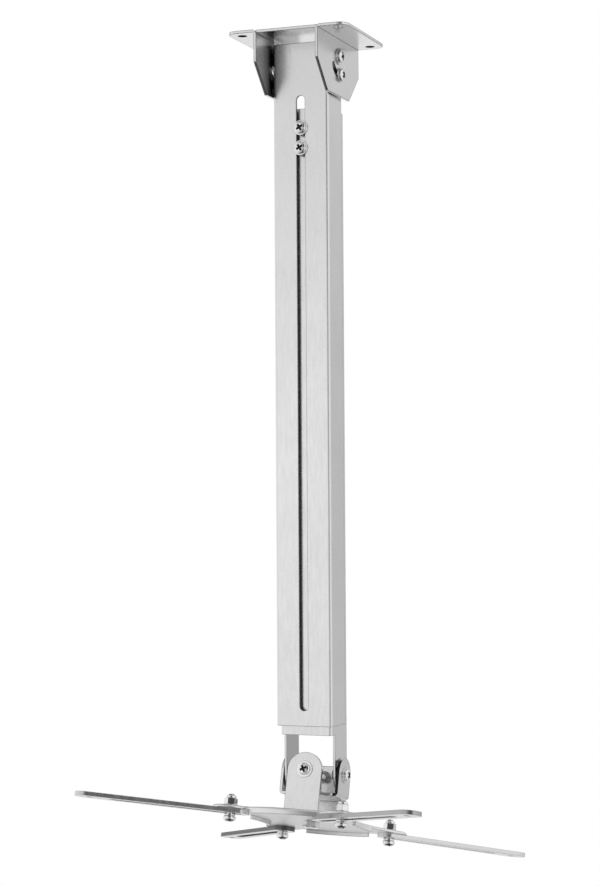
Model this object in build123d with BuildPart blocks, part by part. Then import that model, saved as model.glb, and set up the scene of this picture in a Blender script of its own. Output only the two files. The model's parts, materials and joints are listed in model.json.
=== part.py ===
from build123d import *
from math import cos, radians, sin
import os

# Projector ceiling mount: a ceiling bracket, two nested slotted channels and a universal
# head that carries a plate with four slotted arms. Millimetres, +Z up, -Y to the front.
# The origin is the middle of the ceiling bracket's top face.

# Sheet and fits
SHEET = 2.5
RUNNING_GAP = 0.3
SLIDE_GAP = 0.15
THREAD_GAP = 0.05

# Ceiling bracket
PLATE_WIDTH = 112.0
PLATE_DEPTH = 106.0
PLATE_CORNER = 9.0
WEB_SETBACK = 2.5
WEB_OVERLAP = 1.5
CEILING_HOLE = 8.0
CEILING_HOLES_X = 90.0
CEILING_HOLES_Y = 84.0
BEND_OUTSIDE = 4.5
EAR_HEIGHT = 53.5
EAR_STRAIGHT = 28.5
EAR_FOOT = 55.0
PIVOT_DROP = 18.5
LOCK_RADIUS = 16.3
LOCK_ANGLE = 8.0
TILT_SLOT_SWEEP = 60.0

# Outer column, a channel open at the back
COLUMN_WIDTH = 52.0
COLUMN_DEPTH = 34.0
COLUMN_WALL = 2.0
COLUMN_CORNER = 2.4
COLUMN_TOP = 7.0
COLUMN_LENGTH = 604.0
COLUMN_SLOT = 8.0
SLOT_FROM_TOP = 47.0
SLOT_FROM_BOTTOM = 13.5

# Inner column, a deeper channel that ends in a fork
INNER_FRONT_GAP = 2.6
INNER_DEPTH = 38.9
INNER_TOP = 65.0
INNER_SHOWS = 8.2
FORK_REACH = 36.7
FORK_WIDTH = 30.0
CLAMP_SCREW_DROP = 17.8
CLAMP_SCREW_PITCH = 17.9

# Universal head: the yoke nods on the fork, the hub bracket rolls on the yoke
HEAD_PITCH = 15.0
HEAD_ROLL = 0.6
SIDE_GAP = 1.0
YOKE_EAR_WIDTH = 30.0
YOKE_DEPTH = 51.0
YOKE_DROP = 20.5
FOLD_OUTSIDE = 3.2
HUB_EAR_WIDTH = 32.0
HUB_EAR_TOP = 15.0
HUB_EAR_ROUND = 15.7
REAR_EAR_TOP = 10.5
HUB_DROP = 39.8

# Hub plate and arms
HUB_RADIUS = 77.5
SCREW_INSET_X = 26.0
SCREW_INSET_Y = 13.0
WAIST_INSET = 30.5
LOBE_RADIUS = 16.0
NOTCH_ROUND = 6.0
RIM_HEIGHT = 5.6
RIM_BEND = 2.2
RIM_LOBE_GAP = 5.5
SIDE_RIM_LOBE_GAP = 26.5
ARM_THICKNESS = 3.6
ARM_WIDTH = 20.0
ARM_LENGTH = 152.0
ARM_SLOT_INNER = 6.0
ARM_SLOT_OUTER = 30.0
ARM_TIP_HOLE = 5.0
ARM_TIP_INSET = 13.0

# Each arm: corner of the hub plate, direction in the plate, where its screw is in the slot
ARMS = {
    "front_left": (-1, -1, -150.0, 0.07),
    "front_right": (1, -1, -38.0, 0.28),
    "back_left": (-1, 1, 134.0, 0.03),
    "back_right": (1, 1, 46.0, 0.012),
}

# Fasteners
M6 = 6.0
M5 = 5.0
M8 = 8.0
WASHER = 1.2
THREAD_TAIL = 1.2
SPACER_OUTSIDE = 13.0
EAR_SPACER = 1.5
PIVOT_WASHER_OUTSIDE = 15.0
LOCK_WASHER_OUTSIDE = 13.3
JOINT_WASHER_OUTSIDE = 14.6
CLAMP_WASHER_OUTSIDE = 13.5
NUT_WASHER_OUTSIDE = 13.0
SWIVEL_WASHER_OUTSIDE = 18.0
M6_HEAD = 10.8
M6_HEAD_HEIGHT = 3.2
M6_NUT = 10.0
M6_NUT_HEIGHT = 5.0
M5_HEAD = 9.4
M5_HEAD_HEIGHT = 2.8
M5_NUT = 8.0
M5_NUT_HEIGHT = 4.0
M8_NUT = 13.0
M8_NUT_HEIGHT = 6.5
M8_HEAD_HEIGHT = 5.3
LOCKNUT_HEX = 5.6
LOCKNUT_COLLAR = 2.4
ARM_HEAD = 11.2
ARM_HEAD_HEIGHT = 4.4
SPRING_WASHER = 2.8
SPRING_WASHER_OUTSIDE = 9.8
SPRING_WASHER_SPLIT = 1.4
SPLIT_LEAN = 30.0
BUSH_FLANGE = 12.0
RECESS_DEPTH = 1.6
RECESS_ARM = 1.5
HEAD_RIM = 0.35
HEAD_FLAT = 0.56
HEAD_ROUND = 0.72
COLLAR_TAPER = 10.0

# Places worked out from the sizes above
EAR_INSIDE = COLUMN_WIDTH / 2 + EAR_SPACER
EAR_OUTSIDE = EAR_INSIDE + SHEET
LOCK_Y = LOCK_RADIUS * sin(radians(LOCK_ANGLE))
LOCK_DROP = PIVOT_DROP + LOCK_RADIUS * cos(radians(LOCK_ANGLE))
COLUMN_END = COLUMN_TOP + COLUMN_LENGTH
COLUMN_FRONT = -COLUMN_DEPTH / 2
INNER_WIDTH = COLUMN_WIDTH - 2 * COLUMN_WALL - 2 * SLIDE_GAP
INNER_FRONT = COLUMN_FRONT + COLUMN_WALL + INNER_FRONT_GAP
INNER_BACK = INNER_FRONT + INNER_DEPTH
INNER_FACE_END = COLUMN_END + INNER_SHOWS
HEAD_Y = INNER_BACK - FORK_WIDTH / 2
HEAD_DROP = INNER_FACE_END + FORK_REACH
YOKE_INSIDE = INNER_WIDTH / 2 + SIDE_GAP
YOKE_OUTSIDE = YOKE_INSIDE + SHEET
TAB_OUTSIDE = YOKE_DEPTH / 2
HUB_EAR_INSIDE = TAB_OUTSIDE + SIDE_GAP
HUB_EAR_OUTSIDE = HUB_EAR_INSIDE + SHEET
HUB_UNDERSIDE = HUB_DROP + SHEET
ARM_UNDERSIDE = HUB_UNDERSIDE + ARM_THICKNESS

# The head's own frame: its origin is where the nod and roll axes cross
HEAD_UP = Vector(0, sin(radians(HEAD_PITCH)), cos(radians(HEAD_PITCH)))
HEAD = Plane(origin=(0, HEAD_Y, -HEAD_DROP), x_dir=(1, 0, 0), z_dir=HEAD_UP)
HEAD_SIDE = Plane(origin=HEAD.origin, x_dir=HEAD.y_dir, z_dir=HEAD.x_dir)
HEAD_FACE = Plane(origin=HEAD.origin, x_dir=HEAD.x_dir, z_dir=-HEAD.y_dir)

# The hub's frame has the same origin, and is rolled a little on the yoke
HUB_UP = HEAD.z_dir * cos(radians(HEAD_ROLL)) + HEAD.x_dir * sin(radians(HEAD_ROLL))
HUB_RIGHT = HEAD.x_dir * cos(radians(HEAD_ROLL)) - HEAD.z_dir * sin(radians(HEAD_ROLL))
HUB = Plane(origin=HEAD.origin, x_dir=HUB_RIGHT, z_dir=HUB_UP)
HUB_SIDE = Plane(origin=HUB.origin, x_dir=HUB.y_dir, z_dir=HUB.x_dir)
HUB_FACE = Plane(origin=HUB.origin, x_dir=HUB.x_dir, z_dir=-HUB.y_dir)


def local_point(frame, x, y, z):
    """A point given in a frame of its own, in the part's frame."""
    return frame.origin + frame.x_dir * x + frame.y_dir * y + frame.z_dir * z


def clearance(diameter):
    """Radius of the plain hole that a screw of this diameter passes through."""
    return diameter / 2 + RUNNING_GAP


def add_disc(seat, start, height, outside, bore=0.0, taper=0.0):
    """Add a round slice of a fastener, from start along the seat's normal."""
    with BuildSketch(seat.offset(start)) as slice_face:
        Circle(outside / 2)
        if bore:
            Circle(bore, mode=Mode.SUBTRACT)
    extrude(slice_face.sketch, amount=height, taper=taper)


def add_hex(seat, start, height, across_flats, bore=0.0):
    """Add a hexagonal slice of a fastener."""
    with BuildSketch(seat.offset(start)) as slice_face:
        RegularPolygon(radius=across_flats / 2, side_count=6, major_radius=False)
        if bore:
            Circle(bore, mode=Mode.SUBTRACT)
    extrude(slice_face.sketch, amount=height)


def rings(seats, start, height, outside, bore):
    """Washers or spacers, one on each seat."""
    with BuildPart() as piece:
        for seat in seats:
            add_disc(seat, start, height, outside, bore)
    return piece


def nuts(seats, start, height, across_flats, thread):
    """Plain hexagon nuts, one on each seat."""
    with BuildPart() as piece:
        for seat in seats:
            add_hex(seat, start, height, across_flats, thread / 2 + THREAD_GAP)
    return piece


def add_pan_head(seat, start, head, height):
    """Add a screw head with a rounded shoulder and a flat crown."""
    foot = seat.offset(start)
    outside = head / 2
    rim = height * HEAD_RIM
    flat = outside * HEAD_FLAT
    shoulder = (flat + (outside - flat) * HEAD_ROUND, rim + (height - rim) * HEAD_ROUND)
    with BuildSketch(Plane(origin=foot.origin, x_dir=seat.x_dir, z_dir=-seat.y_dir)) as profile:
        with BuildLine():
            Polyline((flat, height), (0, height), (0, 0), (outside, 0), (outside, rim))
            ThreePointArc((outside, rim), shoulder, (flat, height))
        make_face()
    revolve(profile.sketch, axis=Axis(foot.origin, seat.z_dir))


def cross_screws(seats, start, head, head_height, thread, length):
    """Pan-head screws with a cross recess, one on each seat."""
    with BuildPart() as piece:
        for seat in seats:
            add_pan_head(seat, start, head, head_height)
            add_disc(seat, start - length, length, thread)
            with BuildSketch(seat.offset(start + head_height)):
                Rectangle(head / 2, RECESS_ARM)
                Rectangle(RECESS_ARM, head / 2)
            extrude(amount=-RECESS_DEPTH, mode=Mode.SUBTRACT)
    return piece


def add_channel(width, depth, front, top, length):
    """Add a folded channel, open at the back, that hangs down from its top end."""
    with BuildSketch(Plane.XY.offset(-top - length)) as section:
        with Locations((0, front)):
            Rectangle(width, depth, align=(Align.CENTER, Align.MIN))
        fillet(section.vertices().group_by(Axis.Y)[0], radius=COLUMN_CORNER)
    extrude(section.sketch, amount=length)
    with BuildSketch(Plane.XY.offset(-top - length)) as hollow:
        with Locations((0, front + COLUMN_WALL)):
            Rectangle(width - 2 * COLUMN_WALL, depth, align=(Align.CENTER, Align.MIN))
        fillet(hollow.vertices().group_by(Axis.Y)[0], radius=COLUMN_CORNER - COLUMN_WALL)
    extrude(hollow.sketch, amount=length, mode=Mode.SUBTRACT)


def side_seats(x, y, drop):
    """Seats on the right and left faces at x, looking outward."""
    return [
        Plane(origin=(side * x, y, -drop), x_dir=(0, 1, 0), z_dir=(side, 0, 0))
        for side in (1, -1)
    ]


def save(piece, name):
    """Label a finished piece and write it out under the same name."""
    piece.part.label = name
    export_step(piece.part, f"parts/{name}.step")


os.makedirs("parts", exist_ok=True)

# Ceiling bracket: two folded cheeks joined by a web, with an arc slot in each ear
tilt_arc = CenterArc(
    (0, -PIVOT_DROP), LOCK_RADIUS, 270 + LOCK_ANGLE - TILT_SLOT_SWEEP, TILT_SLOT_SWEEP
)
with BuildPart() as ceiling_bracket:
    flange = PLATE_WIDTH / 2 - EAR_INSIDE
    with BuildSketch(Plane.XZ) as cheek:
        with Locations((EAR_INSIDE, 0)):
            Rectangle(flange, SHEET, align=(Align.MIN, Align.MAX))
            Rectangle(SHEET, EAR_HEIGHT, align=(Align.MIN, Align.MAX))
        outer_corner = cheek.vertices().sort_by_distance((EAR_INSIDE, 0))[0]
        inner_corner = cheek.vertices().sort_by_distance((EAR_OUTSIDE, -SHEET))[0]
        fillet(outer_corner, radius=BEND_OUTSIDE)
        fillet(inner_corner, radius=BEND_OUTSIDE - SHEET)
    extrude(amount=PLATE_DEPTH / 2, both=True)
    outer_edges = ceiling_bracket.edges().filter_by(Axis.Z).group_by(Axis.X)[-1]
    fillet(outer_edges, radius=PLATE_CORNER)
    with BuildSketch(Plane.YZ):
        with BuildLine():
            Polyline(
                (PLATE_DEPTH / 2, -EAR_STRAIGHT),
                (EAR_FOOT / 2, -EAR_HEIGHT),
                (PLATE_DEPTH / 2, -EAR_HEIGHT),
                close=True,
            )
        make_face()
        mirror(about=Plane.YZ)
        SlotArc(tilt_arc, 2 * clearance(M6))
        with Locations((0, -PIVOT_DROP)):
            Circle(clearance(M6))
    extrude(amount=PLATE_WIDTH, both=True, mode=Mode.SUBTRACT)
    mirror(about=Plane.YZ)
    with BuildSketch(Plane.XY):
        Rectangle(2 * (EAR_INSIDE + WEB_OVERLAP), PLATE_DEPTH - 2 * WEB_SETBACK)
    extrude(amount=-SHEET)
    with BuildSketch(Plane.XY):
        with GridLocations(CEILING_HOLES_X, CEILING_HOLES_Y, 2, 2):
            Circle(CEILING_HOLE / 2)
    extrude(amount=-SHEET, mode=Mode.SUBTRACT)
save(ceiling_bracket, "ceiling_bracket")

# Outer column: a channel with one long slot in its front wall
slot_length = COLUMN_LENGTH - SLOT_FROM_TOP - SLOT_FROM_BOTTOM
with BuildPart() as outer_column:
    add_channel(COLUMN_WIDTH, COLUMN_DEPTH, COLUMN_FRONT, COLUMN_TOP, COLUMN_LENGTH)
    with BuildSketch(Plane.XZ.offset(-COLUMN_FRONT)):
        with Locations((0, -COLUMN_TOP - SLOT_FROM_TOP - slot_length / 2)):
            SlotOverall(slot_length, COLUMN_SLOT, rotation=90)
    extrude(amount=-COLUMN_WALL, mode=Mode.SUBTRACT)
    with BuildSketch(Plane.YZ):
        with Locations((0, -PIVOT_DROP), (LOCK_Y, -LOCK_DROP)):
            Circle(clearance(M6))
    extrude(amount=COLUMN_WIDTH, both=True, mode=Mode.SUBTRACT)
save(outer_column, "outer_column")

# Inner column: its side walls run on below the face as the two legs of a fork
clamp_drops = [INNER_TOP + CLAMP_SCREW_DROP + step * CLAMP_SCREW_PITCH for step in (0, 1)]
inner_length = HEAD_DROP + FORK_WIDTH / 2 - INNER_TOP
with BuildPart() as inner_column:
    add_channel(INNER_WIDTH, INNER_DEPTH, INNER_FRONT, INNER_TOP, inner_length)
    with BuildSketch(Plane.YZ):
        with Locations((INNER_BACK, -INNER_FACE_END)):
            Rectangle(INNER_DEPTH, FORK_REACH + FORK_WIDTH, align=(Align.MAX, Align.MAX))
            Rectangle(FORK_WIDTH, FORK_REACH, align=(Align.MAX, Align.MAX), mode=Mode.SUBTRACT)
        with Locations((HEAD_Y, -HEAD_DROP)):
            Circle(FORK_WIDTH / 2, mode=Mode.SUBTRACT)
            Circle(clearance(M6))
    extrude(amount=INNER_WIDTH, both=True, mode=Mode.SUBTRACT)
    with BuildSketch(Plane.XZ.offset(-INNER_FRONT)):
        with Locations([(0, -drop) for drop in clamp_drops]):
            Circle(clearance(M5))
    extrude(amount=-COLUMN_WALL, mode=Mode.SUBTRACT)
save(inner_column, "inner_column")

# Pivot and lock screws between the ears and the outer column
for name, seats, washer_outside in (
    ("pivot", side_seats(EAR_OUTSIDE, 0, PIVOT_DROP), PIVOT_WASHER_OUTSIDE),
    ("lock", side_seats(EAR_OUTSIDE, LOCK_Y, LOCK_DROP), LOCK_WASHER_OUTSIDE),
):
    grip = SHEET + EAR_SPACER + COLUMN_WALL
    save(rings(seats, 0, WASHER, washer_outside, clearance(M6)), f"{name}_washers")
    save(
        rings(seats, -SHEET - EAR_SPACER, EAR_SPACER, SPACER_OUTSIDE, clearance(M6)),
        f"{name}_spacers",
    )
    save(nuts(seats, -grip - M6_NUT_HEIGHT, M6_NUT_HEIGHT, M6_NUT, M6), f"{name}_nuts")
    length = WASHER + grip + M6_NUT_HEIGHT + THREAD_TAIL
    save(cross_screws(seats, WASHER, M6_HEAD, M6_HEAD_HEIGHT, M6, length), f"{name}_screws")

# Clamp screws that hold the inner column at its height, through the slot
clamp_seats = [
    Plane(origin=(0, COLUMN_FRONT, -drop), x_dir=(1, 0, 0), z_dir=(0, -1, 0))
    for drop in clamp_drops
]
clamp_grip = COLUMN_WALL + INNER_FRONT_GAP + COLUMN_WALL
save(rings(clamp_seats, 0, WASHER, CLAMP_WASHER_OUTSIDE, clearance(M5)), "clamp_washers")
with BuildPart() as clamp_bushes:
    for seat in clamp_seats:
        flange_height = INNER_FRONT_GAP - RUNNING_GAP
        bush_outside = COLUMN_SLOT - 2 * RUNNING_GAP
        bush_length = COLUMN_WALL + INNER_FRONT_GAP
        add_disc(seat, -bush_length, bush_length, bush_outside, clearance(M5))
        add_disc(seat, -bush_length, flange_height, BUSH_FLANGE, clearance(M5))
save(clamp_bushes, "clamp_bushes")
save(nuts(clamp_seats, -clamp_grip - M5_NUT_HEIGHT, M5_NUT_HEIGHT, M5_NUT, M5), "clamp_nuts")
clamp_length = WASHER + clamp_grip + M5_NUT_HEIGHT + THREAD_TAIL
save(
    cross_screws(clamp_seats, WASHER, M5_HEAD, M5_HEAD_HEIGHT, M5, clamp_length), "clamp_screws"
)

# Yoke: a folded cross, two ears outside the fork, a tab in front and a lower one behind
with BuildPart() as yoke:
    with BuildSketch(HEAD.offset(-YOKE_DROP)):
        Rectangle(2 * YOKE_OUTSIDE, YOKE_EAR_WIDTH)
        Rectangle(YOKE_EAR_WIDTH, YOKE_DEPTH)
    extrude(amount=SHEET)
    for plane, outside in ((HEAD_SIDE, YOKE_OUTSIDE), (HEAD_FACE, TAB_OUTSIDE)):
        for way in (1, -1):
            with BuildSketch(plane.offset(way * outside)):
                Circle(YOKE_EAR_WIDTH / 2)
                Rectangle(YOKE_EAR_WIDTH, YOKE_DROP, align=(Align.CENTER, Align.MAX))
                Circle(clearance(M6), mode=Mode.SUBTRACT)
            extrude(amount=-way * SHEET)
    underside = yoke.faces().sort_by(Axis(HEAD.origin, HEAD.z_dir))[0]
    fold_edges = [
        edge
        for edge in underside.edges()
        if abs(HEAD.to_local_coords(edge.center()).X) > YOKE_INSIDE
        or abs(HEAD.to_local_coords(edge.center()).Y) > TAB_OUTSIDE - SHEET
    ]
    fillet(fold_edges, radius=FOLD_OUTSIDE)
    with BuildSketch(HEAD.offset(REAR_EAR_TOP)):
        with Locations((0, TAB_OUTSIDE)):
            Rectangle(YOKE_EAR_WIDTH, 2 * SHEET, align=(Align.CENTER, Align.MAX))
    extrude(amount=YOKE_EAR_WIDTH, mode=Mode.SUBTRACT)
save(yoke, "yoke")

# Hub bracket: a folded stirrup with a full-round ear in front and a cropped one behind
with BuildPart() as hub_bracket:
    with BuildSketch(HUB_SIDE):
        with Locations((0, -HUB_DROP)):
            Rectangle(2 * HUB_EAR_OUTSIDE, HUB_DROP + HUB_EAR_TOP, align=(Align.CENTER, Align.MIN))
        with Locations((0, -HUB_DROP + SHEET)):
            Rectangle(
                2 * HUB_EAR_INSIDE,
                HUB_DROP + HUB_EAR_TOP,
                align=(Align.CENTER, Align.MIN),
                mode=Mode.SUBTRACT,
            )
    extrude(amount=HUB_EAR_WIDTH / 2, both=True)
    base = hub_bracket.faces().sort_by(Axis(HUB.origin, HUB.z_dir))[0]
    fillet(base.edges().filter_by(Axis(HUB.origin, HUB.x_dir)), radius=FOLD_OUTSIDE)
    ear_tops = [
        edge
        for edge in hub_bracket.edges().filter_by(Axis(HUB.origin, HUB.y_dir))
        if HUB.to_local_coords(edge.center()).Z > HUB_EAR_TOP - RUNNING_GAP
    ]
    fillet(ear_tops, radius=HUB_EAR_ROUND)
    with BuildSketch(HUB_FACE):
        Circle(clearance(M6))
    extrude(amount=HUB_EAR_OUTSIDE, both=True, mode=Mode.SUBTRACT)
    with BuildSketch(HUB.offset(-HUB_DROP)):
        Circle(clearance(M8))
    extrude(amount=SHEET, mode=Mode.SUBTRACT)
    with BuildSketch(HUB.offset(REAR_EAR_TOP)):
        with Locations((0, HUB_EAR_OUTSIDE)):
            Rectangle(HUB_EAR_WIDTH, 2 * SHEET, align=(Align.CENTER, Align.MAX))
    extrude(amount=HUB_EAR_TOP, mode=Mode.SUBTRACT)
save(hub_bracket, "hub_bracket")

# Nod screws through fork and yoke, roll screws through yoke and hub bracket
nod_seats = [
    Plane(
        origin=local_point(HEAD, side * YOKE_OUTSIDE, 0, 0),
        x_dir=HEAD.y_dir,
        z_dir=HEAD.x_dir * side,
    )
    for side in (1, -1)
]
roll_seats = [
    Plane(
        origin=local_point(HUB, 0, side * HUB_EAR_OUTSIDE, 0),
        x_dir=HUB.x_dir,
        z_dir=HUB.y_dir * side,
    )
    for side in (-1, 1)
]
for name, seats, inside_wall in (("nod", nod_seats, COLUMN_WALL), ("roll", roll_seats, SHEET)):
    grip = SHEET + SIDE_GAP + inside_wall
    save(rings(seats, 0, WASHER, JOINT_WASHER_OUTSIDE, clearance(M6)), f"{name}_washers")
    save(
        rings(seats, -SHEET - SIDE_GAP, SIDE_GAP, SPACER_OUTSIDE, clearance(M6)),
        f"{name}_spacers",
    )
    save(nuts(seats, -grip - M6_NUT_HEIGHT, M6_NUT_HEIGHT, M6_NUT, M6), f"{name}_nuts")
    length = WASHER + grip + M6_NUT_HEIGHT + THREAD_TAIL
    save(cross_screws(seats, WASHER, M6_HEAD, M6_HEAD_HEIGHT, M6, length), f"{name}_screws")

# Hub plate: a round plate with a lobe for each arm, a waist at each side and downturned rims
lobes_x = HUB_RADIUS - SCREW_INSET_X
lobes_y = HUB_RADIUS - SCREW_INSET_Y
waist = HUB_RADIUS - WAIST_INSET
# The waists are arcs that run into the lobes, so their radius follows from where those are
waist_step = lobes_x - waist
waist_touch = (lobes_y**2 + waist_step**2 - LOBE_RADIUS**2) / (2 * (LOBE_RADIUS + waist_step))
waist_radius = waist_touch + RUNNING_GAP
waist_middle = waist_touch + waist
lobe_share = LOBE_RADIUS / (waist_touch + LOBE_RADIUS)
body_width = 2 * (lobes_x + (waist_middle - lobes_x) * lobe_share)
body_depth = 2 * lobes_y * (1 - lobe_share)
rim_half = lobes_x - LOBE_RADIUS - RIM_LOBE_GAP
side_rim_half = lobes_y - LOBE_RADIUS - SIDE_RIM_LOBE_GAP
with BuildPart() as hub_plate:
    with BuildSketch(HUB.offset(-HUB_UNDERSIDE)) as outline:
        Circle(HUB_RADIUS)
        Rectangle(body_width - RUNNING_GAP, body_depth)
        with GridLocations(2 * lobes_x, 2 * lobes_y, 2, 2):
            Circle(LOBE_RADIUS)
        with Locations((waist_middle, 0), (-waist_middle, 0)):
            Circle(waist_radius, mode=Mode.SUBTRACT)
        notches = [
            corner
            for corner in outline.vertices()
            if abs(corner.X) < lobes_x and abs(corner.Y) > lobes_y
        ]
        fillet(notches, radius=NOTCH_ROUND)
        with GridLocations(2 * lobes_x, 2 * lobes_y, 2, 2):
            Circle(clearance(M6), mode=Mode.SUBTRACT)
        Circle(clearance(M8), mode=Mode.SUBTRACT)
    extrude(amount=SHEET)
    with BuildSketch(HUB.offset(-HUB_UNDERSIDE)) as rims:
        Circle(HUB_RADIUS)
        Circle(HUB_RADIUS - SHEET, mode=Mode.SUBTRACT)
        Rectangle(2 * rim_half, 2 * HUB_RADIUS, mode=Mode.INTERSECT)
    extrude(rims.sketch, amount=SHEET - RIM_HEIGHT)
    with BuildSketch(HUB.offset(-HUB_UNDERSIDE)) as side_rims:
        with Locations((waist_middle, 0), (-waist_middle, 0)):
            Circle(waist_radius + SHEET)
            Circle(waist_radius, mode=Mode.SUBTRACT)
        Rectangle(2 * HUB_RADIUS, 2 * side_rim_half, mode=Mode.INTERSECT)
    extrude(side_rims.sketch, amount=SHEET - RIM_HEIGHT)
    bends = [
        edge
        for edge in hub_plate.faces().sort_by(Axis(HUB.origin, HUB.z_dir))[-1].edges()
        if edge.geom_type == GeomType.CIRCLE
        and min(abs(edge.radius - HUB_RADIUS), abs(edge.radius - waist_radius)) < RUNNING_GAP
    ]
    fillet(bends, radius=RIM_BEND)
save(hub_plate, "hub_plate")

# Swivel bolt up through hub plate and hub bracket
swivel_seat = Plane(
    origin=local_point(HUB, 0, 0, -HUB_UNDERSIDE), x_dir=HUB.x_dir, z_dir=-HUB.z_dir
)
swivel_grip = 2 * SHEET + WASHER
with BuildPart() as swivel_bolt:
    add_hex(swivel_seat, 0, M8_HEAD_HEIGHT, M8_NUT)
    bolt_length = swivel_grip + M8_NUT_HEIGHT + THREAD_TAIL
    add_disc(swivel_seat, -bolt_length, bolt_length, M8)
save(swivel_bolt, "swivel_bolt")
save(rings([swivel_seat], -swivel_grip, WASHER, SWIVEL_WASHER_OUTSIDE, clearance(M8)), "swivel_washer")
save(nuts([swivel_seat], -swivel_grip - M8_NUT_HEIGHT, M8_NUT_HEIGHT, M8_NUT, M8), "swivel_nut")

# Four slotted arms under the hub plate, each with its screw, washers and lock nut
slot_span = ARM_LENGTH - ARM_SLOT_INNER - ARM_SLOT_OUTER
screw_play = slot_span - 2 * clearance(M6)
for name, (corner_x, corner_y, direction, share) in ARMS.items():
    reach = ARM_LENGTH - ARM_SLOT_INNER - clearance(M6) - share * screw_play
    along = HUB.x_dir * cos(radians(direction)) + HUB.y_dir * sin(radians(direction))
    origin = local_point(HUB, corner_x * lobes_x, corner_y * lobes_y, -ARM_UNDERSIDE)
    arm_plane = Plane(origin=origin, x_dir=along, z_dir=HUB.z_dir)
    with BuildPart() as arm:
        with BuildSketch(arm_plane):
            with Locations((reach - ARM_LENGTH / 2, 0)):
                SlotOverall(ARM_LENGTH, ARM_WIDTH)
            with Locations((reach - ARM_SLOT_OUTER - slot_span / 2, 0)):
                SlotOverall(slot_span, 2 * clearance(M6), mode=Mode.SUBTRACT)
            with Locations((reach - ARM_TIP_INSET, 0)):
                Circle(ARM_TIP_HOLE / 2, mode=Mode.SUBTRACT)
        extrude(amount=ARM_THICKNESS)
    save(arm, f"arm_{name}")

    screw_seat = Plane(origin=origin, x_dir=along, z_dir=-HUB.z_dir)
    arm_grip = ARM_THICKNESS + SHEET + WASHER
    locknut = LOCKNUT_HEX + LOCKNUT_COLLAR
    with BuildPart() as spring_washer:
        add_disc(screw_seat, 0, SPRING_WASHER, SPRING_WASHER_OUTSIDE, clearance(M6))
        with BuildSketch(screw_seat):
            with Locations((SPRING_WASHER_OUTSIDE / 2, 0)):
                Rectangle(SPRING_WASHER_OUTSIDE, SPRING_WASHER_SPLIT, rotation=SPLIT_LEAN)
        extrude(amount=SPRING_WASHER, mode=Mode.SUBTRACT)
    save(spring_washer, f"arm_spring_washer_{name}")
    arm_screw_length = SPRING_WASHER + arm_grip + locknut + THREAD_TAIL
    arm_screw = cross_screws(
        [screw_seat], SPRING_WASHER, ARM_HEAD, ARM_HEAD_HEIGHT, M6, arm_screw_length
    )
    save(arm_screw, f"arm_screw_{name}")
    save(rings([screw_seat], -arm_grip, WASHER, NUT_WASHER_OUTSIDE, clearance(M6)), f"arm_washer_{name}")
    with BuildPart() as arm_nut:
        thread_bore = M6 / 2 + THREAD_GAP
        collar_start = -arm_grip - LOCKNUT_HEX
        add_hex(screw_seat, collar_start, LOCKNUT_HEX, M6_NUT, thread_bore)
        add_disc(screw_seat, collar_start, -LOCKNUT_COLLAR, M6_NUT, thread_bore, COLLAR_TAPER)
    save(arm_nut, f"arm_nut_{name}")
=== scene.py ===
import json
import math
from collections import namedtuple

import bmesh
import bpy
from mathutils import Matrix, Vector

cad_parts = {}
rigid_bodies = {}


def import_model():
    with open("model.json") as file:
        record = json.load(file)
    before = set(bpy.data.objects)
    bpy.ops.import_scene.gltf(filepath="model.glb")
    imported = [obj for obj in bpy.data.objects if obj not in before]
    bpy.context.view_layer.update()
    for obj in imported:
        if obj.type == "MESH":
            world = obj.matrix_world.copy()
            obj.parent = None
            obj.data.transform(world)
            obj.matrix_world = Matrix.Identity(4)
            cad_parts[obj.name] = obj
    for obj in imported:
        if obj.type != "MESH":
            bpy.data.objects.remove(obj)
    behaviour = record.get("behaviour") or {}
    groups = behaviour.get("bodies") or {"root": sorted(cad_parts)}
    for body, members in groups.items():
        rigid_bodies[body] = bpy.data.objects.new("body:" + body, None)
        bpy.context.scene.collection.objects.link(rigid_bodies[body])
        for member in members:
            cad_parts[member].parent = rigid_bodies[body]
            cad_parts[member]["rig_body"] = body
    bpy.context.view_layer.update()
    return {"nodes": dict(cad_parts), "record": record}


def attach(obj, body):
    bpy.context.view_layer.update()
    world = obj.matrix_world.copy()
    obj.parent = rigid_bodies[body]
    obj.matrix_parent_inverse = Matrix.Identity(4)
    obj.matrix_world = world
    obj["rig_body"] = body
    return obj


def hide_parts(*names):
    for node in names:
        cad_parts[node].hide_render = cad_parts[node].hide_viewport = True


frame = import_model()
nodes = frame["nodes"]

# Camera, as the photograph shows the mount: to the right of the front, almost level
VIEW_YAW = math.radians(21.034)
VIEW_PITCH = math.radians(1.795)
VIEW_ROLL = math.radians(-0.339)
VIEW_DISTANCE = 1.8981
VIEW_TARGET = Vector((-0.0089, 0.0, -0.3615))
VIEW_LENS = 86.61
VIEW_SENSOR = 36.0
VIEW_END = 60.0

# Directions of the part, and of its pitched and slightly rolled head
ACROSS = Vector((1, 0, 0))
FORWARD = Vector((0, -1, 0))
UP = Vector((0, 0, 1))
HEAD_PITCH = math.radians(15.0)
HEAD_ROLL = math.radians(0.6)
ARM_UP = (0.0, math.sin(HEAD_PITCH), math.cos(HEAD_PITCH))
HUB_BACK = Vector((0, math.cos(HEAD_PITCH), -math.sin(HEAD_PITCH)))
HUB_UP = Vector((
    math.sin(HEAD_ROLL),
    math.cos(HEAD_ROLL) * math.sin(HEAD_PITCH),
    math.cos(HEAD_ROLL) * math.cos(HEAD_PITCH),
))
HUB_DOWN = -HUB_UP


def add_object(name, data):
    """A new object in the scene."""
    made = bpy.data.objects.new(name, data)
    bpy.context.scene.collection.objects.link(made)
    return made


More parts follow.
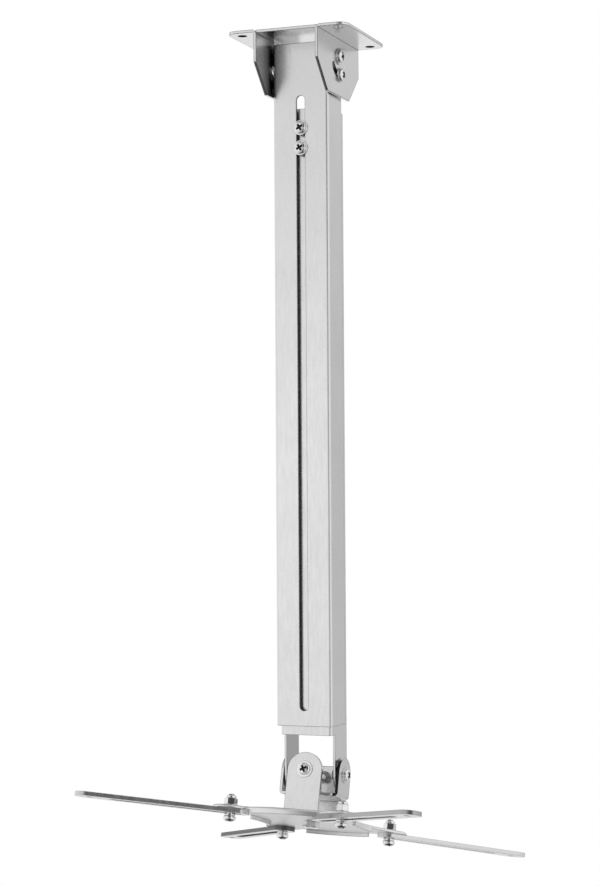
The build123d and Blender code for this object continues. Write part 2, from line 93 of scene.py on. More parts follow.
def add_camera():
    """Stand the camera where the photograph was taken."""
    level = Vector((-math.sin(VIEW_YAW), math.cos(VIEW_YAW), 0.0))
    right = Vector((math.cos(VIEW_YAW), math.sin(VIEW_YAW), 0.0))
    ahead = level * math.cos(VIEW_PITCH) + UP * math.sin(VIEW_PITCH)
    head_up = UP * math.cos(VIEW_PITCH) - level * math.sin(VIEW_PITCH)
    across = right * math.cos(VIEW_ROLL) + head_up * math.sin(VIEW_ROLL)
    upright = head_up * math.cos(VIEW_ROLL) - right * math.sin(VIEW_ROLL)
    data = bpy.data.cameras.new("photo_view")
    data.lens = VIEW_LENS
    data.sensor_width = VIEW_SENSOR
    data.clip_end = VIEW_END
    camera = add_object("photo_view", data)
    turn = Matrix((across, upright, -ahead)).transposed().to_4x4()
    camera.matrix_world = Matrix.Translation(VIEW_TARGET - ahead * VIEW_DISTANCE) @ turn
    bpy.context.scene.camera = camera


# Helpers for shader nodes. A noise value keeps mostly to its middle range,
# and a colour mix has its two colours and its result at these places.
NOISE_LOW = 0.3
NOISE_HIGH = 0.7
MIX_FIRST = 6
MIX_SECOND = 7
MIX_RESULT = 2


def add_node(tree, kind, inputs=None, **settings):
    """Add one shader node; each input is a plain value or a socket to link."""
    node = tree.nodes.new(kind)
    for key, value in settings.items():
        setattr(node, key, value)
    for key, value in (inputs or {}).items():
        if isinstance(value, bpy.types.NodeSocket):
            tree.links.new(value, node.inputs[key])
        else:
            node.inputs[key].default_value = value
    return node


def grey(tone):
    """A plain grey as a colour."""
    return (tone, tone, tone, 1.0)


def ramp(tree, source, stops):
    """The colour of a ramp with (position, tone) stops, fed by a socket."""
    node = add_node(tree, "ShaderNodeValToRGB", {"Fac": source})
    elements = node.color_ramp.elements
    while len(elements) < len(stops):
        elements.new(position=0.5)
    for element, (position, tone) in zip(elements, stops):
        element.position = position
        element.color = grey(tone)
    return node.outputs["Color"]


def spread(tree, source, low, high):
    """Map a noise value from its usual middle range to low..high."""
    inputs = {
        "Value": source, "From Min": NOISE_LOW, "From Max": NOISE_HIGH,
        "To Min": low, "To Max": high,
    }
    return add_node(tree, "ShaderNodeMapRange", inputs).outputs["Result"]


def noise(tree, place, scale, detail=3.0, stretch=None):
    """Noise over a piece, with an optional stretch along its axes."""
    if stretch:
        mapping = add_node(tree, "ShaderNodeMapping", {"Vector": place, "Scale": stretch})
        place = mapping.outputs["Vector"]
    inputs = {"Vector": place, "Scale": scale, "Detail": detail}
    return add_node(tree, "ShaderNodeTexNoise", inputs).outputs["Fac"]


def blend(tree, share, first, second):
    """Mix two colours by a share socket."""
    inputs = {"Factor": share, MIX_FIRST: first, MIX_SECOND: second}
    return add_node(tree, "ShaderNodeMix", inputs, data_type="RGBA").outputs[MIX_RESULT]


def between(tree, value, low, high):
    """A smooth step of a number socket, 0 at low and 1 at high."""
    inputs = {"Value": value, "From Min": low, "From Max": high}
    node = add_node(tree, "ShaderNodeMapRange", inputs, interpolation_type="SMOOTHSTEP")
    return node.outputs["Result"]


def calculate(tree, operation, first, second=0.0):
    """One step of arithmetic; each side is a socket or a number."""
    inputs = {0: first, 1: second}
    return add_node(tree, "ShaderNodeMath", inputs, operation=operation).outputs["Value"]


def vector_step(tree, operation, first, second=(0.0, 0.0, 0.0)):
    """One step of arithmetic with directions or places; each side is a socket or a vector."""
    return add_node(tree, "ShaderNodeVectorMath", {0: first, 1: second}, operation=operation)


def all_of(tree, first, *others):
    """The product of shares: 1 only where each of them is 1."""
    for share in others:
        first = calculate(tree, "MULTIPLY", first, share)
    return first


def axes_of(tree, place):
    """The X, Y and Z sockets of a place."""
    return add_node(tree, "ShaderNodeSeparateXYZ", {"Vector": place}).outputs


def level_place(tree, place):
    """A place with its height taken out."""
    return vector_step(tree, "MULTIPLY", place, (1.0, 1.0, 0.0)).outputs["Vector"]


def facing(tree, way):
    """How far a surface faces along a direction of the part."""
    normal = add_node(tree, "ShaderNodeTexCoord").outputs["Normal"]
    return vector_step(tree, "DOT_PRODUCT", normal, way).outputs["Value"]


# Fine structure of the materials: scales of their noise, its detail, and depth of the grain
METAL_CLOUDS = 22.0
METAL_FLECKS = 900.0
METAL_STREAKS = 60.0
STREAK_STRETCH = (6.0, 6.0, 1.0)
STREAK_DETAIL = 4.0
FLECK_DETAIL = 2.0
SPARKLE = 0.02
PLASTIC_CLOUDS = 120.0
PLASTIC_FLECKS = 1800.0
PLASTIC_GLOSS = (0.42, 0.56)
PLASTIC_GRAIN = 0.2
GRAIN_DEPTH = 0.0001
# Painted shade along an edge, where its rounded and its flat normal part, by their dot product
EDGE_SAMPLES = 6
EDGE_SHADE_FROM = 0.995
EDGE_SHADE_TO = 0.90


def new_material(name):
    """A material, its node tree, its shader and the place on the piece."""
    material = bpy.data.materials.new(name)
    material.use_nodes = True
    tree = material.node_tree
    place = add_node(tree, "ShaderNodeTexCoord").outputs["Object"]
    return material, tree, tree.nodes["Principled BSDF"], place


def add_grain(tree, shader, flecks, strength, **normal):
    """Give a surface a fine grain, on top of another normal where there is one."""
    inputs = {"Height": flecks, "Strength": strength, "Distance": GRAIN_DEPTH, **normal}
    bump = add_node(tree, "ShaderNodeBump", inputs)
    tree.links.new(bump.outputs["Normal"], shader.inputs["Normal"])


def metal(name, dark, light, smooth, rough, grain, edge, edge_tone, shades=()):
    """Metal whose tone and gloss drift a little, with a fine grain and painted shade along its
    edges.
    """
    material, tree, shader, place = new_material(name)
    shader.inputs["Metallic"].default_value = 1.0
    flecks = noise(tree, place, METAL_FLECKS, FLECK_DETAIL)
    clouds = spread(tree, noise(tree, place, METAL_CLOUDS), dark, light)
    total = calculate(tree, "ADD", clouds, spread(tree, flecks, -SPARKLE, SPARKLE))
    channels = {"Red": total, "Green": total, "Blue": total}
    colour = add_node(tree, "ShaderNodeCombineColor", channels).outputs["Color"]

    # Painted shade along the edges, where a bevel's rounded normal parts from the flat one
    bevel = add_node(tree, "ShaderNodeBevel", {"Radius": edge}, samples=EDGE_SAMPLES)
    rounded = bevel.outputs["Normal"]
    flat = add_node(tree, "ShaderNodeNewGeometry").outputs["Normal"]
    alike = vector_step(tree, "DOT_PRODUCT", rounded, flat).outputs["Value"]
    colour = blend(tree, between(tree, alike, EDGE_SHADE_FROM, EDGE_SHADE_TO), colour, grey(edge_tone))
    for shade in shades:
        share, tone = shade(tree, place)
        colour = blend(tree, share, colour, grey(tone))
    tree.links.new(colour, shader.inputs["Base Color"])

    streaks = noise(tree, place, METAL_STREAKS, STREAK_DETAIL, STREAK_STRETCH)
    tree.links.new(spread(tree, streaks, smooth, rough), shader.inputs["Roughness"])
    add_grain(tree, shader, flecks, grain, Normal=rounded)
    return material


def plastic(name, dark, light):
    """Moulded plastic with a faint sheen and a fine grain."""
    material, tree, shader, place = new_material(name)
    clouds = noise(tree, place, PLASTIC_CLOUDS)
    flecks = noise(tree, place, PLASTIC_FLECKS, FLECK_DETAIL)
    tone = ramp(tree, clouds, [(NOISE_LOW, dark), (NOISE_HIGH, light)])
    tree.links.new(tone, shader.inputs["Base Color"])
    tree.links.new(spread(tree, flecks, *PLASTIC_GLOSS), shader.inputs["Roughness"])
    add_grain(tree, shader, flecks, PLASTIC_GRAIN)
    return material


# Painted shade and painted reflections that make the sheet darker, in metres of the part: cut
# edges, hole walls and shaded insides.
# A pair says how far a surface faces a direction where the shade begins and where it is full.
CUT_FACING = (0.8, 0.5)
FRONT_FACING = (0.3, 0.5)
INWARD_FACING = (0.7, 0.9)
SLOT_WALL_FRONT = -0.0168
SLOT_WALL_BACK = -0.0160
SLOT_WALL_END = -0.0150
SLOT_WALL_SPAN = 0.0243
SLOT_WALL_TONE = 0.015
HOLE_PLACES = ((-0.045, -0.042), (-0.045, 0.042), (0.045, 0.042))
HOLE_RADIUS = 0.0042
HOLE_OUTSIDE = 0.0044
HOLE_TONE = 0.03
YOKE_EAR_FROM = 0.0225
YOKE_GAP_TONE = 0.02
FORK_TONE = 0.55
EAR_FROM = -0.026
EAR_LIGHT = -0.048
EAR_DARK = -0.018
EAR_END = -0.010
EAR_TONE = 0.10


def cut_edges(tone):
    """Painted reflection on the cut faces of a flat piece that lies in the plane of the arms."""
    def shade(tree, place):
        level = calculate(tree, "ABSOLUTE", facing(tree, ARM_UP))
        return between(tree, level, *CUT_FACING), tone
    return shade


def yoke_gap(tree, place):
    """The shaded front edge of the yoke's right ear, next to the column's fork."""
    right = calculate(tree, "GREATER_THAN", axes_of(tree, place)["X"], YOKE_EAR_FROM)
    ahead = between(tree, facing(tree, FORWARD), *FRONT_FACING)
    return all_of(tree, ahead, right), YOKE_GAP_TONE


def fork_inside(tree, place):
    """Painted shade on the inside of the fork's left leg."""
    left = calculate(tree, "LESS_THAN", axes_of(tree, place)["X"], 0.0)
    inward = between(tree, facing(tree, ACROSS), *INWARD_FACING)
    return all_of(tree, inward, left), FORK_TONE


def ear_inside(tree, place):
    """Painted shade on the inside of the bracket's left ear, darker towards the column."""
    axes = axes_of(tree, place)
    left = calculate(tree, "LESS_THAN", axes["X"], EAR_FROM)
    inward = between(tree, facing(tree, ACROSS), *INWARD_FACING)
    deep = between(tree, axes["Y"], EAR_LIGHT, EAR_DARK)
    ahead = calculate(tree, "LESS_THAN", axes["Y"], EAR_END)
    return all_of(tree, deep, ahead, inward, left), EAR_TONE


def slot_back(tree, place):
    """Painted shade in the slot and on the back of the column's slotted wall."""
    axes = axes_of(tree, place)
    behind = between(tree, axes["Y"], SLOT_WALL_FRONT, SLOT_WALL_BACK)
    ahead = calculate(tree, "LESS_THAN", axes["Y"], SLOT_WALL_END)
    aside = calculate(tree, "ABSOLUTE", axes["X"])
    inside = calculate(tree, "LESS_THAN", aside, SLOT_WALL_SPAN)
    return all_of(tree, behind, ahead, inside), SLOT_WALL_TONE


def hole_walls(tree, place):
    """The walls of the ceiling holes that the light does not reach."""
    flat = level_place(tree, place)
    share = 0.0
    for x, y in HOLE_PLACES:
        away = vector_step(tree, "DISTANCE", flat, (x, y, 0.0)).outputs["Value"]
        near = between(tree, away, HOLE_OUTSIDE, HOLE_RADIUS)
        share = calculate(tree, "MAXIMUM", share, near)
    return share, HOLE_TONE


# Looks: dark and light tone, smooth and rough gloss, grain, and reach and tone of the painted shade
# along the edges
SHEET = {
    "dark": 0.84, "light": 0.88, "smooth": 0.22, "rough": 0.28,
    "grain": 0.05, "edge": 0.0008, "edge_tone": 0.20,
}
ZINC = {
    "dark": 0.90, "light": 0.96, "smooth": 0.06, "rough": 0.11,
    "grain": 0.03, "edge": 0.0004, "edge_tone": 0.12,
}
# Zinc with painted shade, for the nuts inside the yoke
SHADED_ZINC = {
    "dark": 0.22, "light": 0.34, "smooth": 0.12, "rough": 0.20,
    "grain": 0.03, "edge": 0.0004, "edge_tone": 0.05,
}
# Painted shade for the faces of the cross recesses
RECESS = {
    "dark": 0.03, "light": 0.06, "smooth": 0.30, "rough": 0.45,
    "grain": 0.05, "edge": 0.0001, "edge_tone": 0.2,
}
# Painted reflections on the arms' cut edges: a tone for each arm
ARM_CUT_REFLECTIONS = {"front_left": 0.75, "front_right": 0.50, "back_left": 0.14, "back_right": 0.80}


def sheet(name, shades=(), **changes):
    """Satin silver sheet with shades and changes of its own."""
    return metal("satin_silver_" + name, shades=shades, **{**SHEET, **changes})


looks = {
    "silver_sheet": metal("satin_silver", **SHEET),
    "bright_zinc": metal("bright_plate", **ZINC),
    "nylon": plastic("dark_nylon", dark=0.02, light=0.035),
}
shaded_look = metal("shaded_plate", **SHADED_ZINC)
recess_look = metal("shaded_recess", **RECESS)
own_looks = {
    "outer_column": sheet("slotted", [slot_back], edge=0.0009, edge_tone=0.10),
    "ceiling_bracket": sheet("drilled", [hole_walls, ear_inside], edge=0.0011, edge_tone=0.12),
    "inner_column": sheet("forked", [fork_inside]),
    "yoke": sheet("folded", [yoke_gap]),
    "hub_plate": sheet("hub", dark=0.92, light=0.96, smooth=0.32, rough=0.40),
}
# Each arm gets its own painted reflection on its cut edges, and painted shade along its edges
for corner, reflection_tone in ARM_CUT_REFLECTIONS.items():
    arm_look = sheet(corner, [cut_edges(reflection_tone)], edge=0.0009, edge_tone=0.07)
    own_looks["arm_" + corner] = arm_look
for entry in frame["record"]["subparts"]:
    materials = nodes[entry["node"]].data.materials
    materials.clear()
    materials.append(own_looks.get(entry["node"], looks[entry["material_slot"]]))


# Fasteners in full detail, in millimetres until they are placed. A thread has the radius of
# its screw, of a nut's bore and of a washer's hole, and the width across its hexagon's flats.
MM = 0.001
Thread = namedtuple("Thread", "radius bore hole across")
M5 = Thread(2.5, 2.55, 2.8, 8.0)
M6 = Thread(3.0, 3.05, 3.3, 10.0)
M8 = Thread(4.0, 4.05, 4.3, 13.0)
TURN_STEPS = 48
SOFT_EDGE = 0.25
SHARP_ANGLE = math.radians(28)
HEX_RISE = math.tan(math.radians(30))
HEX_FACE = 0.97
LOCK_COLLAR = 2.4
COLLAR_SHARE = 0.86
SPRING_OUTSIDE = 4.9
SPRING_WIRE = 1.7
SPRING_SWEEP = math.radians(344)
THREAD_PITCH = 1.0
THREAD_DEPTH = 0.6
THREAD_SAMPLES = 8
HEAD_WALL = 0.3
CROWN_CURVE = 2.4
CROWN_STEPS = (0.0, 0.2, 0.38, 0.54, 0.68, 0.8, 0.89, 0.95, 0.98)
# Cross recess: its wings as shares of the head's width, narrower at the foot than at the top,
# its depth as a share of the head's height, and how its faces are told from the crown's
WING_REACH = 0.34
WING_WIDTH = 0.10
WING_FOOT = 0.5
WING_TOP = 1.15
WING_ABOVE = 1.0
RECESS_SHARE = 0.62
RECESS_SKIN = 0.06
RECESS_SLOT = 1
WALL_LEAN = 0.95
FLOOR_LEAN = 0.9
SQUARE = ((-1, -1), (1, -1), (1, 1), (-1, 1))
BOX_FACES = (
    (3, 2, 1, 0), (4, 5, 6, 7), (0, 1, 5, 4), (1, 2, 6, 5), (2, 3, 7, 6), (3, 0, 4, 7),
)


def ring_stack(mesh, rings, closed=False):
    """Skin a stack of rings; a ring's radius and height are numbers or functions of the angle."""
    loops = []
    for radius, height in rings:
        loop = []
        for step in range(TURN_STEPS):
            angle = 2 * math.pi * step / TURN_STEPS
            reach = radius(angle) if callable(radius) else radius
            rise = height(angle) if callable(height) else height
            loop.append(mesh.verts.new((reach * math.cos(angle), reach * math.sin(angle), rise)))
        loops.append(loop)
    pairs = list(zip(loops, loops[1:]))
    if closed:
        pairs.append((loops[-1], loops[0]))
    else:
        mesh.faces.new(loops[0])
        mesh.faces.new(loops[-1])
    for below, above in pairs:
        for step in range(TURN_STEPS):
            after = (step + 1) % TURN_STEPS
            mesh.faces.new((below[step], below[after], above[after], above[step]))


def thread_rings(radius, start, end):
    """Rings of a screw thread from one height to another, tapered in at its start."""
    rings = []
    count = int((end - start) / THREAD_PITCH * THREAD_SAMPLES)
    for index in range(count + 1):
        height = start + (end - start) * index / count
        turns = (height - start) / THREAD_PITCH

        def reach(angle, turns=turns):
            phase = (turns - angle / (2 * math.pi)) % 1.0
            groove = 1.0 - abs(2.0 * phase - 1.0)
            return radius - THREAD_DEPTH * max(groove, 1.0 - min(turns, 1.0))

        rings.append((reach, height))
    return rings


def hex_reach(across):
    """Radius of a hexagon of this width across its flats, by angle."""
    sixth = math.pi / 3
    return lambda angle: across / 2 / math.cos((angle + sixth / 2) % sixth - sixth / 2)


def hex_slope(across, height, way):
    """Height of the turned-down corners of a hexagon, by angle."""
    reach = hex_reach(across)
    return lambda angle: height + way * (reach(angle) - across / 2 * HEX_FACE) * HEX_RISE


def wire_section(inside, outside, height):
    """Outline of a flat ring with softened edges, as radii and heights."""
    soft = SOFT_EDGE
    return [
        (inside, soft), (inside + soft, 0), (outside - soft, 0), (outside, soft),
        (outside, height - soft), (outside - soft, height),
        (inside + soft, height), (inside, height - soft),
    ]


def washer_shape(mesh, hole, outside, height):
    """A flat washer with softened edges."""
    ring_stack(mesh, wire_section(hole, outside, height), closed=True)


def spring_shape(mesh, hole, outside, height):
    """A split spring washer: one turn of flat wire whose ends stand apart."""
    section = wire_section(hole, outside, SPRING_WIRE)
    loops = []
    for step in range(TURN_STEPS + 1):
        share = step / TURN_STEPS
        angle = SPRING_SWEEP * share
        lift = (height - SPRING_WIRE) * share
        loops.append([
            mesh.verts.new((reach * math.cos(angle), reach * math.sin(angle), rise + lift))
            for reach, rise in section
        ])
    mesh.faces.new(loops[0])
    mesh.faces.new(loops[-1])
    for before, after in zip(loops, loops[1:]):
        for index in range(len(section)):
            follow = (index + 1) % len(section)
            mesh.faces.new((before[index], before[follow], after[follow], after[index]))


def hex_rings(bore, across, height):
    """Rings of a nut's hexagon with turned-down corners, from its countersunk thread upwards."""
    face = across / 2 * HEX_FACE
    flats = hex_reach(across)
    return [
        (bore, 2 * SOFT_EDGE), (bore + 2 * SOFT_EDGE, 0), (face, 0),
        (flats, hex_slope(across, 0, 1)), (flats, hex_slope(across, height, -1)), (face, height),
    ]


def nut_shape(mesh, bore, across, height):
    """A hexagon nut with turned-down corners and a countersunk thread."""
    ring_stack(mesh, hex_rings(bore, across, height) + [
        (bore + 2 * SOFT_EDGE, height), (bore, height - 2 * SOFT_EDGE),
    ], closed=True)


def locknut_shape(mesh, bore, across, height):
    """A lock nut: hexagon below, rolled collar above with the locking ring let into it."""
    soft = SOFT_EDGE
    shoulder = height - LOCK_COLLAR
    collar = across / 2 * COLLAR_SHARE
    ring_stack(mesh, hex_rings(bore, across, shoulder) + [
        (collar, shoulder + soft), (collar, height - 3 * soft),
        (collar - soft, height - soft), (collar - 2 * soft, height),
        (bore + 2 * soft, height), (bore + 2 * soft, height - soft), (bore, height - soft),
    ], closed=True)


def shank_rings(radius, length, threaded):
    """A screw's shank from its tapered tail up to the head."""
    tail = (radius - THREAD_DEPTH - SOFT_EDGE, -length)
    turns = thread_rings(radius, SOFT_EDGE - length, threaded - length)
    return [tail] + turns + [(radius, threaded - length + SOFT_EDGE), (radius, 0)]


def crown_arc(share):
    """The other side of a crown's curve, at this share of its width or height."""
    return max(0.0, 1 - share**CROWN_CURVE) ** (1 / CROWN_CURVE)


def pan_screw(radius, head, height, length, threaded):
    """A pan-head screw with a cross recess, its head standing on height 0."""
    mesh = bmesh.new()
    wall = height * HEAD_WALL
    rings = shank_rings(radius, length, threaded)
    rings += [(head / 2 - SOFT_EDGE, 0), (head / 2, SOFT_EDGE)]
    rings += [(head / 2 * crown_arc(step), wall + (height - wall) * step) for step in CROWN_STEPS]
    ring_stack(mesh, rings)
    bmesh.ops.recalc_face_normals(mesh, faces=mesh.faces)
    return cut_cross(mesh, head, height)


def hex_bolt(radius, across, height, length, threaded):
    """A hexagon bolt, its head standing on height 0 with a sunk crown."""
    mesh = bmesh.new()
    face = across / 2 * HEX_FACE
    flats = hex_reach(across)
    ring_stack(mesh, shank_rings(radius, length, threaded) + [
        (across / 2 - SOFT_EDGE, 0), (flats, SOFT_EDGE), (flats, hex_slope(across, height, -1)),
        (face, height), (face - 4 * SOFT_EDGE, height), (face - 6 * SOFT_EDGE, height - SOFT_EDGE),
    ])
    return mesh


def add_scrap(name, mesh):
    """An object for a moment's use, from a mesh that is used up."""
    scrap = add_object(name, bpy.data.meshes.new(name))
    mesh.to_mesh(scrap.data)
    mesh.free()
    return scrap


def add_wing(head, height, quarter):
    """One wing of a cross recess as a cutter."""
    mesh = bmesh.new()
    foot = (height * (1 - RECESS_SHARE), WING_FOOT)
    top = (height + WING_ABOVE, WING_TOP)
    corners = [
        mesh.verts.new((x * WING_REACH * head * share, y * WING_WIDTH * head * share, level))
        for level, share in (foot, top) for x, y in SQUARE
    ]
    for face in BOX_FACES:
        mesh.faces.new([corners[index] for index in face])
    mesh.transform(Matrix.Rotation(quarter * math.pi / 2, 4, "Z"))
    return add_scrap("wing", mesh)


def in_recess(face, head, height):
    """Whether a face of a cut screw is a wall or the floor of its recess."""
    middle = face.calc_center_median()
    reach = math.hypot(middle.x, middle.y) / (head / 2)
    if reach >= 2 * WING_REACH:
        return False
    wall = height * HEAD_WALL
    crown = wall + (height - wall) * crown_arc(reach)
    foot = height * (1 - RECESS_SHARE)
    side = 0 < middle.z < crown - RECESS_SKIN and abs(face.normal.z) < WALL_LEAN
    floor = abs(middle.z - foot) < RECESS_SKIN and face.normal.z > FLOOR_LEAN
    return side or floor


def cut_cross(mesh, head, height):
    """Cut a cross recess with sloping ends into the crown of a screw."""
    blank = add_scrap("blank", mesh)
    wings = [add_wing(head, height, quarter) for quarter in (0, 1)]
    for wing in wings:
        cut = blank.modifiers.new("wing", "BOOLEAN")
        cut.operation = "DIFFERENCE"
        cut.solver = "EXACT"
        cut.object = wing
    evaluated = blank.evaluated_get(bpy.context.evaluated_depsgraph_get())
    finished = bpy.data.meshes.new_from_object(evaluated)
    result = bmesh.new()
    result.from_mesh(finished)
    # The recess faces take the slot with the painted shade of the recess
    for face in result.faces:
        if in_recess(face, head, height):
            face.material_index = RECESS_SLOT
    spare = [finished] + [scrap.data for scrap in [blank] + wings]
    for scrap in [blank] + wings:
        bpy.data.objects.remove(scrap)
    for data in spare:
        bpy.data.meshes.remove(data)
    return result


def solids_of(node, apart):
    """The points of a node's solids, each with its way outward where there are two."""
    points = [vertex.co.copy() for vertex in nodes[node].data.vertices]
    if apart is None:
        return [(points, None)]
    reach = [point.dot(apart) for point in points]
    middle = (min(reach) + max(reach)) / 2
    return [
        ([point for point, value in zip(points, reach) if value < middle], -apart),
        ([point for point, value in zip(points, reach) if value >= middle], apart),
    ]


def add_fine(node, shape, apart=None, outward=None, spin=0, look=looks["bright_zinc"]):
    """Put a detailed fastener in the place of each solid of a node.

    Two solids lie apart along a direction. Their outer ends point outward, or else away from
    each other.
    """
    joined = bpy.data.meshes.new("fine_" + node)
    whole = bmesh.new()
    for points, away in solids_of(node, apart):
        axis = away if outward is None else outward
        turn = axis.to_track_quat("Z", "Y").to_matrix()
        local = [turn.transposed() @ point for point in points]
        low = Vector([min(point[side] for point in local) for side in range(3)])
        high = Vector([max(point[side] for point in local) for side in range(3)])
        size = (high - low) / MM
        foot = turn @ Vector(((low.x + high.x) / 2, (low.y + high.y) / 2, low.z))
        solid = shape(size.z, max(size.x, size.y))
        bmesh.ops.recalc_face_normals(solid, faces=solid.faces)
        solid.transform(Matrix.Rotation(math.radians(spin), 4, "Z"))
        solid.transform(Matrix.Translation(foot) @ turn.to_4x4() @ Matrix.Scale(MM, 4))
        single = bpy.data.meshes.new("single")
        solid.to_mesh(single)
        solid.free()
        whole.from_mesh(single)
        bpy.data.meshes.remove(single)
    whole.to_mesh(joined)
    whole.free()
    for face in joined.polygons:
        face.use_smooth = True
    joined.set_sharp_from_angle(angle=SHARP_ANGLE)
    joined.materials.append(look)
    joined.materials.append(recess_look)
    piece = add_object("fine_" + node, joined)
    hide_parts(node)
    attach(piece, nodes[node]["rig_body"])


def ringed(shape, inside, outside=None):
    """A maker of nuts or washers; the node gives the height, and any size that is not named."""
    def make(height, width):
        mesh = bmesh.new()
        shape(mesh, inside, width / 2 if outside is None else outside, height)
        return mesh
    return make


def headed(shape, thread, head, head_height, threaded):
    """A maker of screws or bolts whose length comes from the node."""
    def make(height, width):
        length = height - head_height
        mesh = shape(thread.radius, head, head_height, length, threaded)
        mesh.transform(Matrix.Translation((0, 0, length)))
        return mesh
    return make


# Each joint's screws, with the width of the head, the line from side to side, the spin in degrees
# and the look of the nuts, where the nuts inside the yoke have painted shade
JOINTS = (
    ("pivot", 12.2, ACROSS, 20, looks["bright_zinc"]),
    ("lock", 11.8, ACROSS, 50, looks["bright_zinc"]),
    ("nod", 11.4, ACROSS, 35, shaded_look),
    ("roll", 11.0, HUB_BACK, 25, shaded_look),
)
ARM_SPINS = {"front_left": 57, "front_right": 18, "back_left": 5, "back_right": 56}
m6_nut = ringed(nut_shape, M6.bore, M6.across)
m6_washer = ringed(washer_shape, M6.hole)
for joint, head_width, sides, joint_spin, nut_look in JOINTS:
    joint_screw = headed(pan_screw, M6, head_width, head_height=3.2, threaded=8.0)
    add_fine(joint + "_screws", joint_screw, sides, spin=joint_spin)
    add_fine(joint + "_nuts", m6_nut, sides, spin=joint_spin, look=nut_look)
    add_fine(joint + "_washers", m6_washer, sides)

clamp_screw = headed(pan_screw, M5, head=11.0, head_height=2.8, threaded=7.0)
add_fine("clamp_screws", clamp_screw, UP, FORWARD, spin=30)
add_fine("clamp_nuts", ringed(nut_shape, M5.bore, M5.across), UP, FORWARD, spin=10)
add_fine("clamp_washers", ringed(washer_shape, M5.hole), UP, FORWARD)

swivel_bolt = headed(hex_bolt, M8, M8.across, head_height=5.3, threaded=7.0)
add_fine("swivel_bolt", swivel_bolt, outward=HUB_DOWN, spin=10)
add_fine("swivel_nut", ringed(nut_shape, M8.bore, M8.across), outward=HUB_DOWN, spin=5)
add_fine("swivel_washer", ringed(washer_shape, M8.hole), outward=HUB_DOWN)

arm_screw = headed(pan_screw, M6, head=11.2, head_height=4.4, threaded=10.0)
arm_nut = ringed(locknut_shape, M6.bore, M6.across)
arm_spring = ringed(spring_shape, M6.hole, SPRING_OUTSIDE)
for corner, arm_spin in ARM_SPINS.items():
    add_fine("arm_screw_" + corner, arm_screw, outward=HUB_DOWN, spin=arm_spin)
    add_fine("arm_nut_" + corner, arm_nut, outward=HUB_UP, spin=arm_spin)
    add_fine("arm_washer_" + corner, m6_washer, outward=HUB_DOWN)
    add_fine("arm_spring_washer_" + corner, arm_spring, outward=HUB_DOWN, spin=3 * arm_spin)


# Studio: a pale floor well below the mount, a soft panel overhead and a white surround.
# The eye sees the floor whiten from near to far, where it ends in full white.
FLOOR_Z = -1.5
FLOOR_SIZE = 50.0
FLOOR_GREY = 0.8
FLOOR_ROUGH = 0.9
FLOOR_NEAR = 1.0
FLOOR_FAR = 3.0
FLOOR_WHITE = 0.6
PANEL_PLACE = Vector((0.4, -0.6, 1.9))
PANEL_TARGET = Vector((0, 0, -0.4))
PANEL_SIZE = 2.0
PANEL_POWER = 6.0
# What bright metal mirrors at eye level, below it and above it: compass angle in degrees
# from +X towards +Y, and tone
RIGHT_RING = [
    (-36, 0.85), (-28, 0.95), (-12, 0.82), (0, 0.74), (25, 0.78), (45, 0.75), (58, 0.56),
    (75, 0.52), (88, 0.66), (100, 0.88), (125, 0.88), (180, 0.85),
]
LEVEL_RING = [
    (-180, 0.85), (-145, 0.85), (-122, 0.70), (-111, 0.63), (-99, 0.55), (-90, 0.48),
    (-46, 0.46),
] + RIGHT_RING
LOW_RING = [
    (-180, 0.85), (-145, 0.85), (-122, 0.70), (-111, 0.63), (-99, 0.48), (-87, 0.44),
    (-76, 0.12), (-46, 0.10),
] + RIGHT_RING
HIGH_RING = [
    (-180, 0.85), (-145, 0.78), (-122, 0.62), (-111, 0.57), (-99, 0.44), (-87, 0.42),
    (-76, 0.06), (-46, 0.05), (-36, 0.85), (-28, 1.0), (-12, 0.84), (0, 0.76), (25, 0.85),
    (45, 0.85), (69, 0.72), (85, 0.40), (100, 0.20), (130, 0.20), (150, 0.6), (180, 0.85),
]
# Where the lower and upper rings take over, as the sine of the elevation
LOW_FADE = (-0.10, -0.28)
HIGH_FADE = (0.06, 0.28)
# How bright the rings are by height, again as the sine: dark straight below and overhead
HEIGHTS = [
    (-1.0, 0.03), (-0.96, 0.03), (-0.88, 0.06), (-0.77, 0.50), (-0.62, 0.88), (-0.5, 0.92),
    (-0.34, 0.94), (-0.2, 1.0), (0.5, 1.0), (0.75, 0.85), (0.9, 0.45), (1.0, 0.35),
]
# Soft lamps to the left of the camera: compass angle, elevation, reach of the glow, and strength
LAMPS = [(-111, 0, 13, 0.38), (-112, 24, 16, 0.28)]


def direct_rays(tree):
    """1 for what the eye sees straight on or through glass, 0 for all other rays."""
    path = add_node(tree, "ShaderNodeLightPath").outputs
    return calculate(tree, "MAXIMUM", path["Is Camera Ray"], path["Is Transmission Ray"])


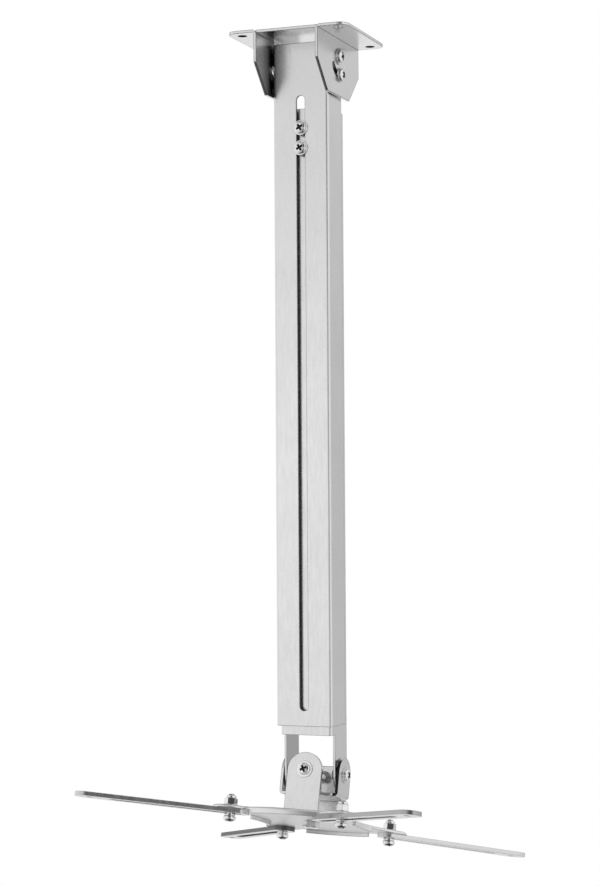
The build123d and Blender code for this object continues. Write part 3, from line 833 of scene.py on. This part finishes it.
def add_floor():
    """A wide pale floor, out of reach of the extended mount, that whitens into the distance."""
    half = FLOOR_SIZE / 2
    mesh = bpy.data.meshes.new("studio_floor")
    mesh.from_pydata([(x * half, y * half, FLOOR_Z) for x, y in SQUARE], [], [(0, 1, 2, 3)])
    floor = add_object("studio_floor", mesh)
    floor.visible_glossy = False
    material, tree, shader, place = new_material("pale_floor")
    shader.inputs["Base Color"].default_value = grey(FLOOR_GREY)
    shader.inputs["Roughness"].default_value = FLOOR_ROUGH
    away = vector_step(tree, "LENGTH", level_place(tree, place)).outputs["Value"]
    span = {"Value": away, "From Min": FLOOR_NEAR, "From Max": FLOOR_FAR, "To Min": FLOOR_WHITE}
    fade = add_node(tree, "ShaderNodeMapRange", span, interpolation_type="SMOOTHSTEP")
    seen = calculate(tree, "MULTIPLY", direct_rays(tree), fade.outputs["Result"])
    white = add_node(tree, "ShaderNodeEmission").outputs["Emission"]
    mixed = {"Fac": seen, 1: shader.outputs["BSDF"], 2: white}
    surface = add_node(tree, "ShaderNodeMixShader", mixed).outputs["Shader"]
    tree.links.new(surface, tree.nodes["Material Output"].inputs["Surface"])
    mesh.materials.append(material)


def ring_colour(tree, turn, ring):
    """The colour of a ring of the surround, by a share of the full turn."""
    return ramp(tree, turn, [((compass + 180) / 360, tone) for compass, tone in ring])


def add_lamp(tree, way, lit, compass, rise, reach, strength):
    """The surround with the glow of one soft lamp on top."""
    across, above = math.radians(compass), math.radians(rise)
    level = math.cos(above)
    centre = (math.cos(across) * level, math.sin(across) * level, math.sin(above))
    toward = vector_step(tree, "DOT_PRODUCT", way, centre).outputs["Value"]
    span = {"Value": toward, "From Min": math.cos(math.radians(reach)), "To Max": strength}
    glow = add_node(tree, "ShaderNodeMapRange", span, interpolation_type="SMOOTHERSTEP")
    return vector_step(tree, "ADD", lit, glow.outputs["Result"]).outputs["Vector"]


def add_surround():
    """White to the eye; in metal a room that is darker behind the camera, below and overhead."""
    world = bpy.data.worlds.new("surround")
    bpy.context.scene.world = world
    world.use_nodes = True
    tree = world.node_tree
    tree.nodes.clear()
    way = add_node(tree, "ShaderNodeTexCoord").outputs["Generated"]
    axes = axes_of(tree, way)
    angle = calculate(tree, "ARCTAN2", axes["Y"], axes["X"])
    circle = {"Value": angle, "From Min": -math.pi, "From Max": math.pi}
    turn = add_node(tree, "ShaderNodeMapRange", circle).outputs["Result"]
    level, low, high = [ring_colour(tree, turn, ring) for ring in (LEVEL_RING, LOW_RING, HIGH_RING)]
    lit = blend(tree, between(tree, axes["Z"], *LOW_FADE), level, low)
    lit = blend(tree, between(tree, axes["Z"], *HIGH_FADE), lit, high)
    for lamp in LAMPS:
        lit = add_lamp(tree, way, lit, *lamp)

    rise = {"Value": axes["Z"], "From Min": -1.0}
    height = add_node(tree, "ShaderNodeMapRange", rise).outputs["Result"]
    dim = ramp(tree, height, [((sine + 1) / 2, tone) for sine, tone in HEIGHTS])
    room = vector_step(tree, "MULTIPLY", lit, dim).outputs["Vector"]

    mirrored = add_node(tree, "ShaderNodeBackground", {"Color": room}).outputs["Background"]
    white = add_node(tree, "ShaderNodeBackground", {"Color": grey(1.0)}).outputs["Background"]
    glossy = add_node(tree, "ShaderNodeLightPath").outputs["Is Glossy Ray"]
    mix = add_node(tree, "ShaderNodeMixShader", {"Fac": glossy, 1: white, 2: mirrored})
    add_node(tree, "ShaderNodeOutputWorld", {"Surface": mix.outputs["Shader"]})


def add_panel():
    """A soft light panel above the mount that faces it."""
    data = bpy.data.lights.new("overhead_panel", "AREA")
    data.shape = "SQUARE"
    data.size = PANEL_SIZE
    data.energy = PANEL_POWER
    panel = add_object("overhead_panel", data)
    panel.location = PANEL_PLACE
    panel.rotation_euler = (PANEL_TARGET - PANEL_PLACE).to_track_quat("-Z", "Y").to_euler()


add_camera()
add_floor()
add_surround()
add_panel()
bpy.context.scene.view_settings.view_transform = "Standard"
